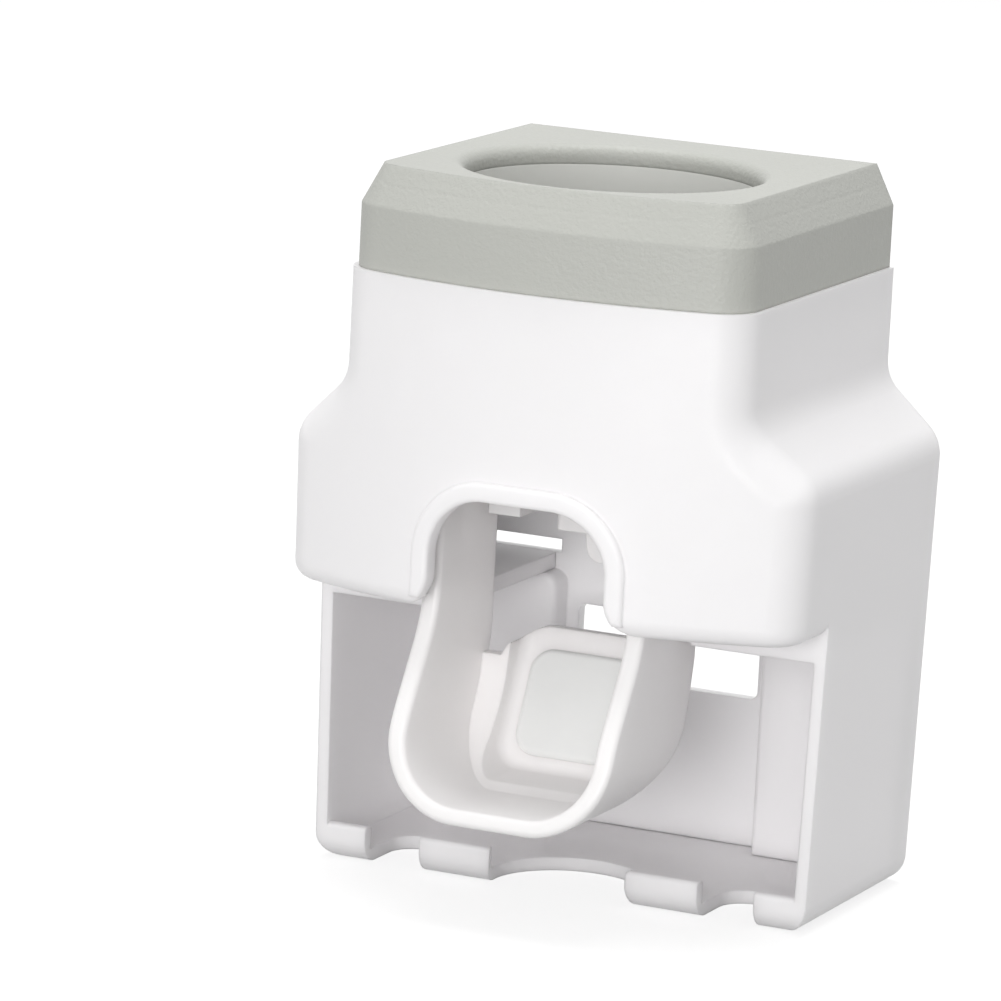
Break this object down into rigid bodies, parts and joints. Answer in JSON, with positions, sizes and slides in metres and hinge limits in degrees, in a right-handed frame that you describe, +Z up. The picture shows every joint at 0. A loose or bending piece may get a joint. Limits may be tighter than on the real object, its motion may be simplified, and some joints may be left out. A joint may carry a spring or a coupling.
{
  "type": "toothpaste dispenser",
  "caption": "Wall-mounted toothpaste squeezer: bottle-shaped housing with a collar for the tube, a sprung push lever that works a pump, and a hooked toothbrush tray.",
  "frame": {"origin": "on the wall plane at the middle of the base's underside", "axes": "+X to the right seen from the front, +Y back into the wall, +Z up"},
  "size_m": [0.0978, 0.0777, 0.1286],
  "materials": {
    "white_abs": "satin moulded white",
    "grey_abs": "fine moulded grain",
    "pale_grey_abs": "smooth moulded",
    "silicone": "soft translucent white",
    "acetal": "smooth moulded",
    "steel": "bright drawn"
  },
  "bodies": {
    "housing": {"main_housing": "white_abs", "back_plate": "white_abs", "collar": "grey_abs", "tube_sleeve": "pale_grey_abs", "pump_diaphragm": "silicone", "inlet_plug": "silicone", "inlet_valve": "silicone", "outlet_valve": "silicone", "pump_body": "acetal", "diaphragm_ring": "acetal", "outlet_spout": "acetal", "pump_cradle": "acetal", "lever_axle": "steel", "axle_retainers": "steel", "return_spring": "steel", "back_plate_screws": "steel", "cradle_screws": "steel"},
    "lever": {"push_lever": "white_abs", "brush_pad": "silicone", "pivot_bush_left": "acetal", "pivot_bush_right": "acetal", "presser_bar": "acetal"}
  },
  "joints": [
    {"name": "lever_press", "type": "hinge", "parent": "housing", "child": "lever", "pos_m": [0, -0.056, 0.092], "axis": [1, 0, 0], "range_deg": [0, 10], "stiffness_Nm_per_rad": 0.35, "springref_deg": -20.05, "deforming": ["return_spring", "pump_diaphragm"]}
  ]
}
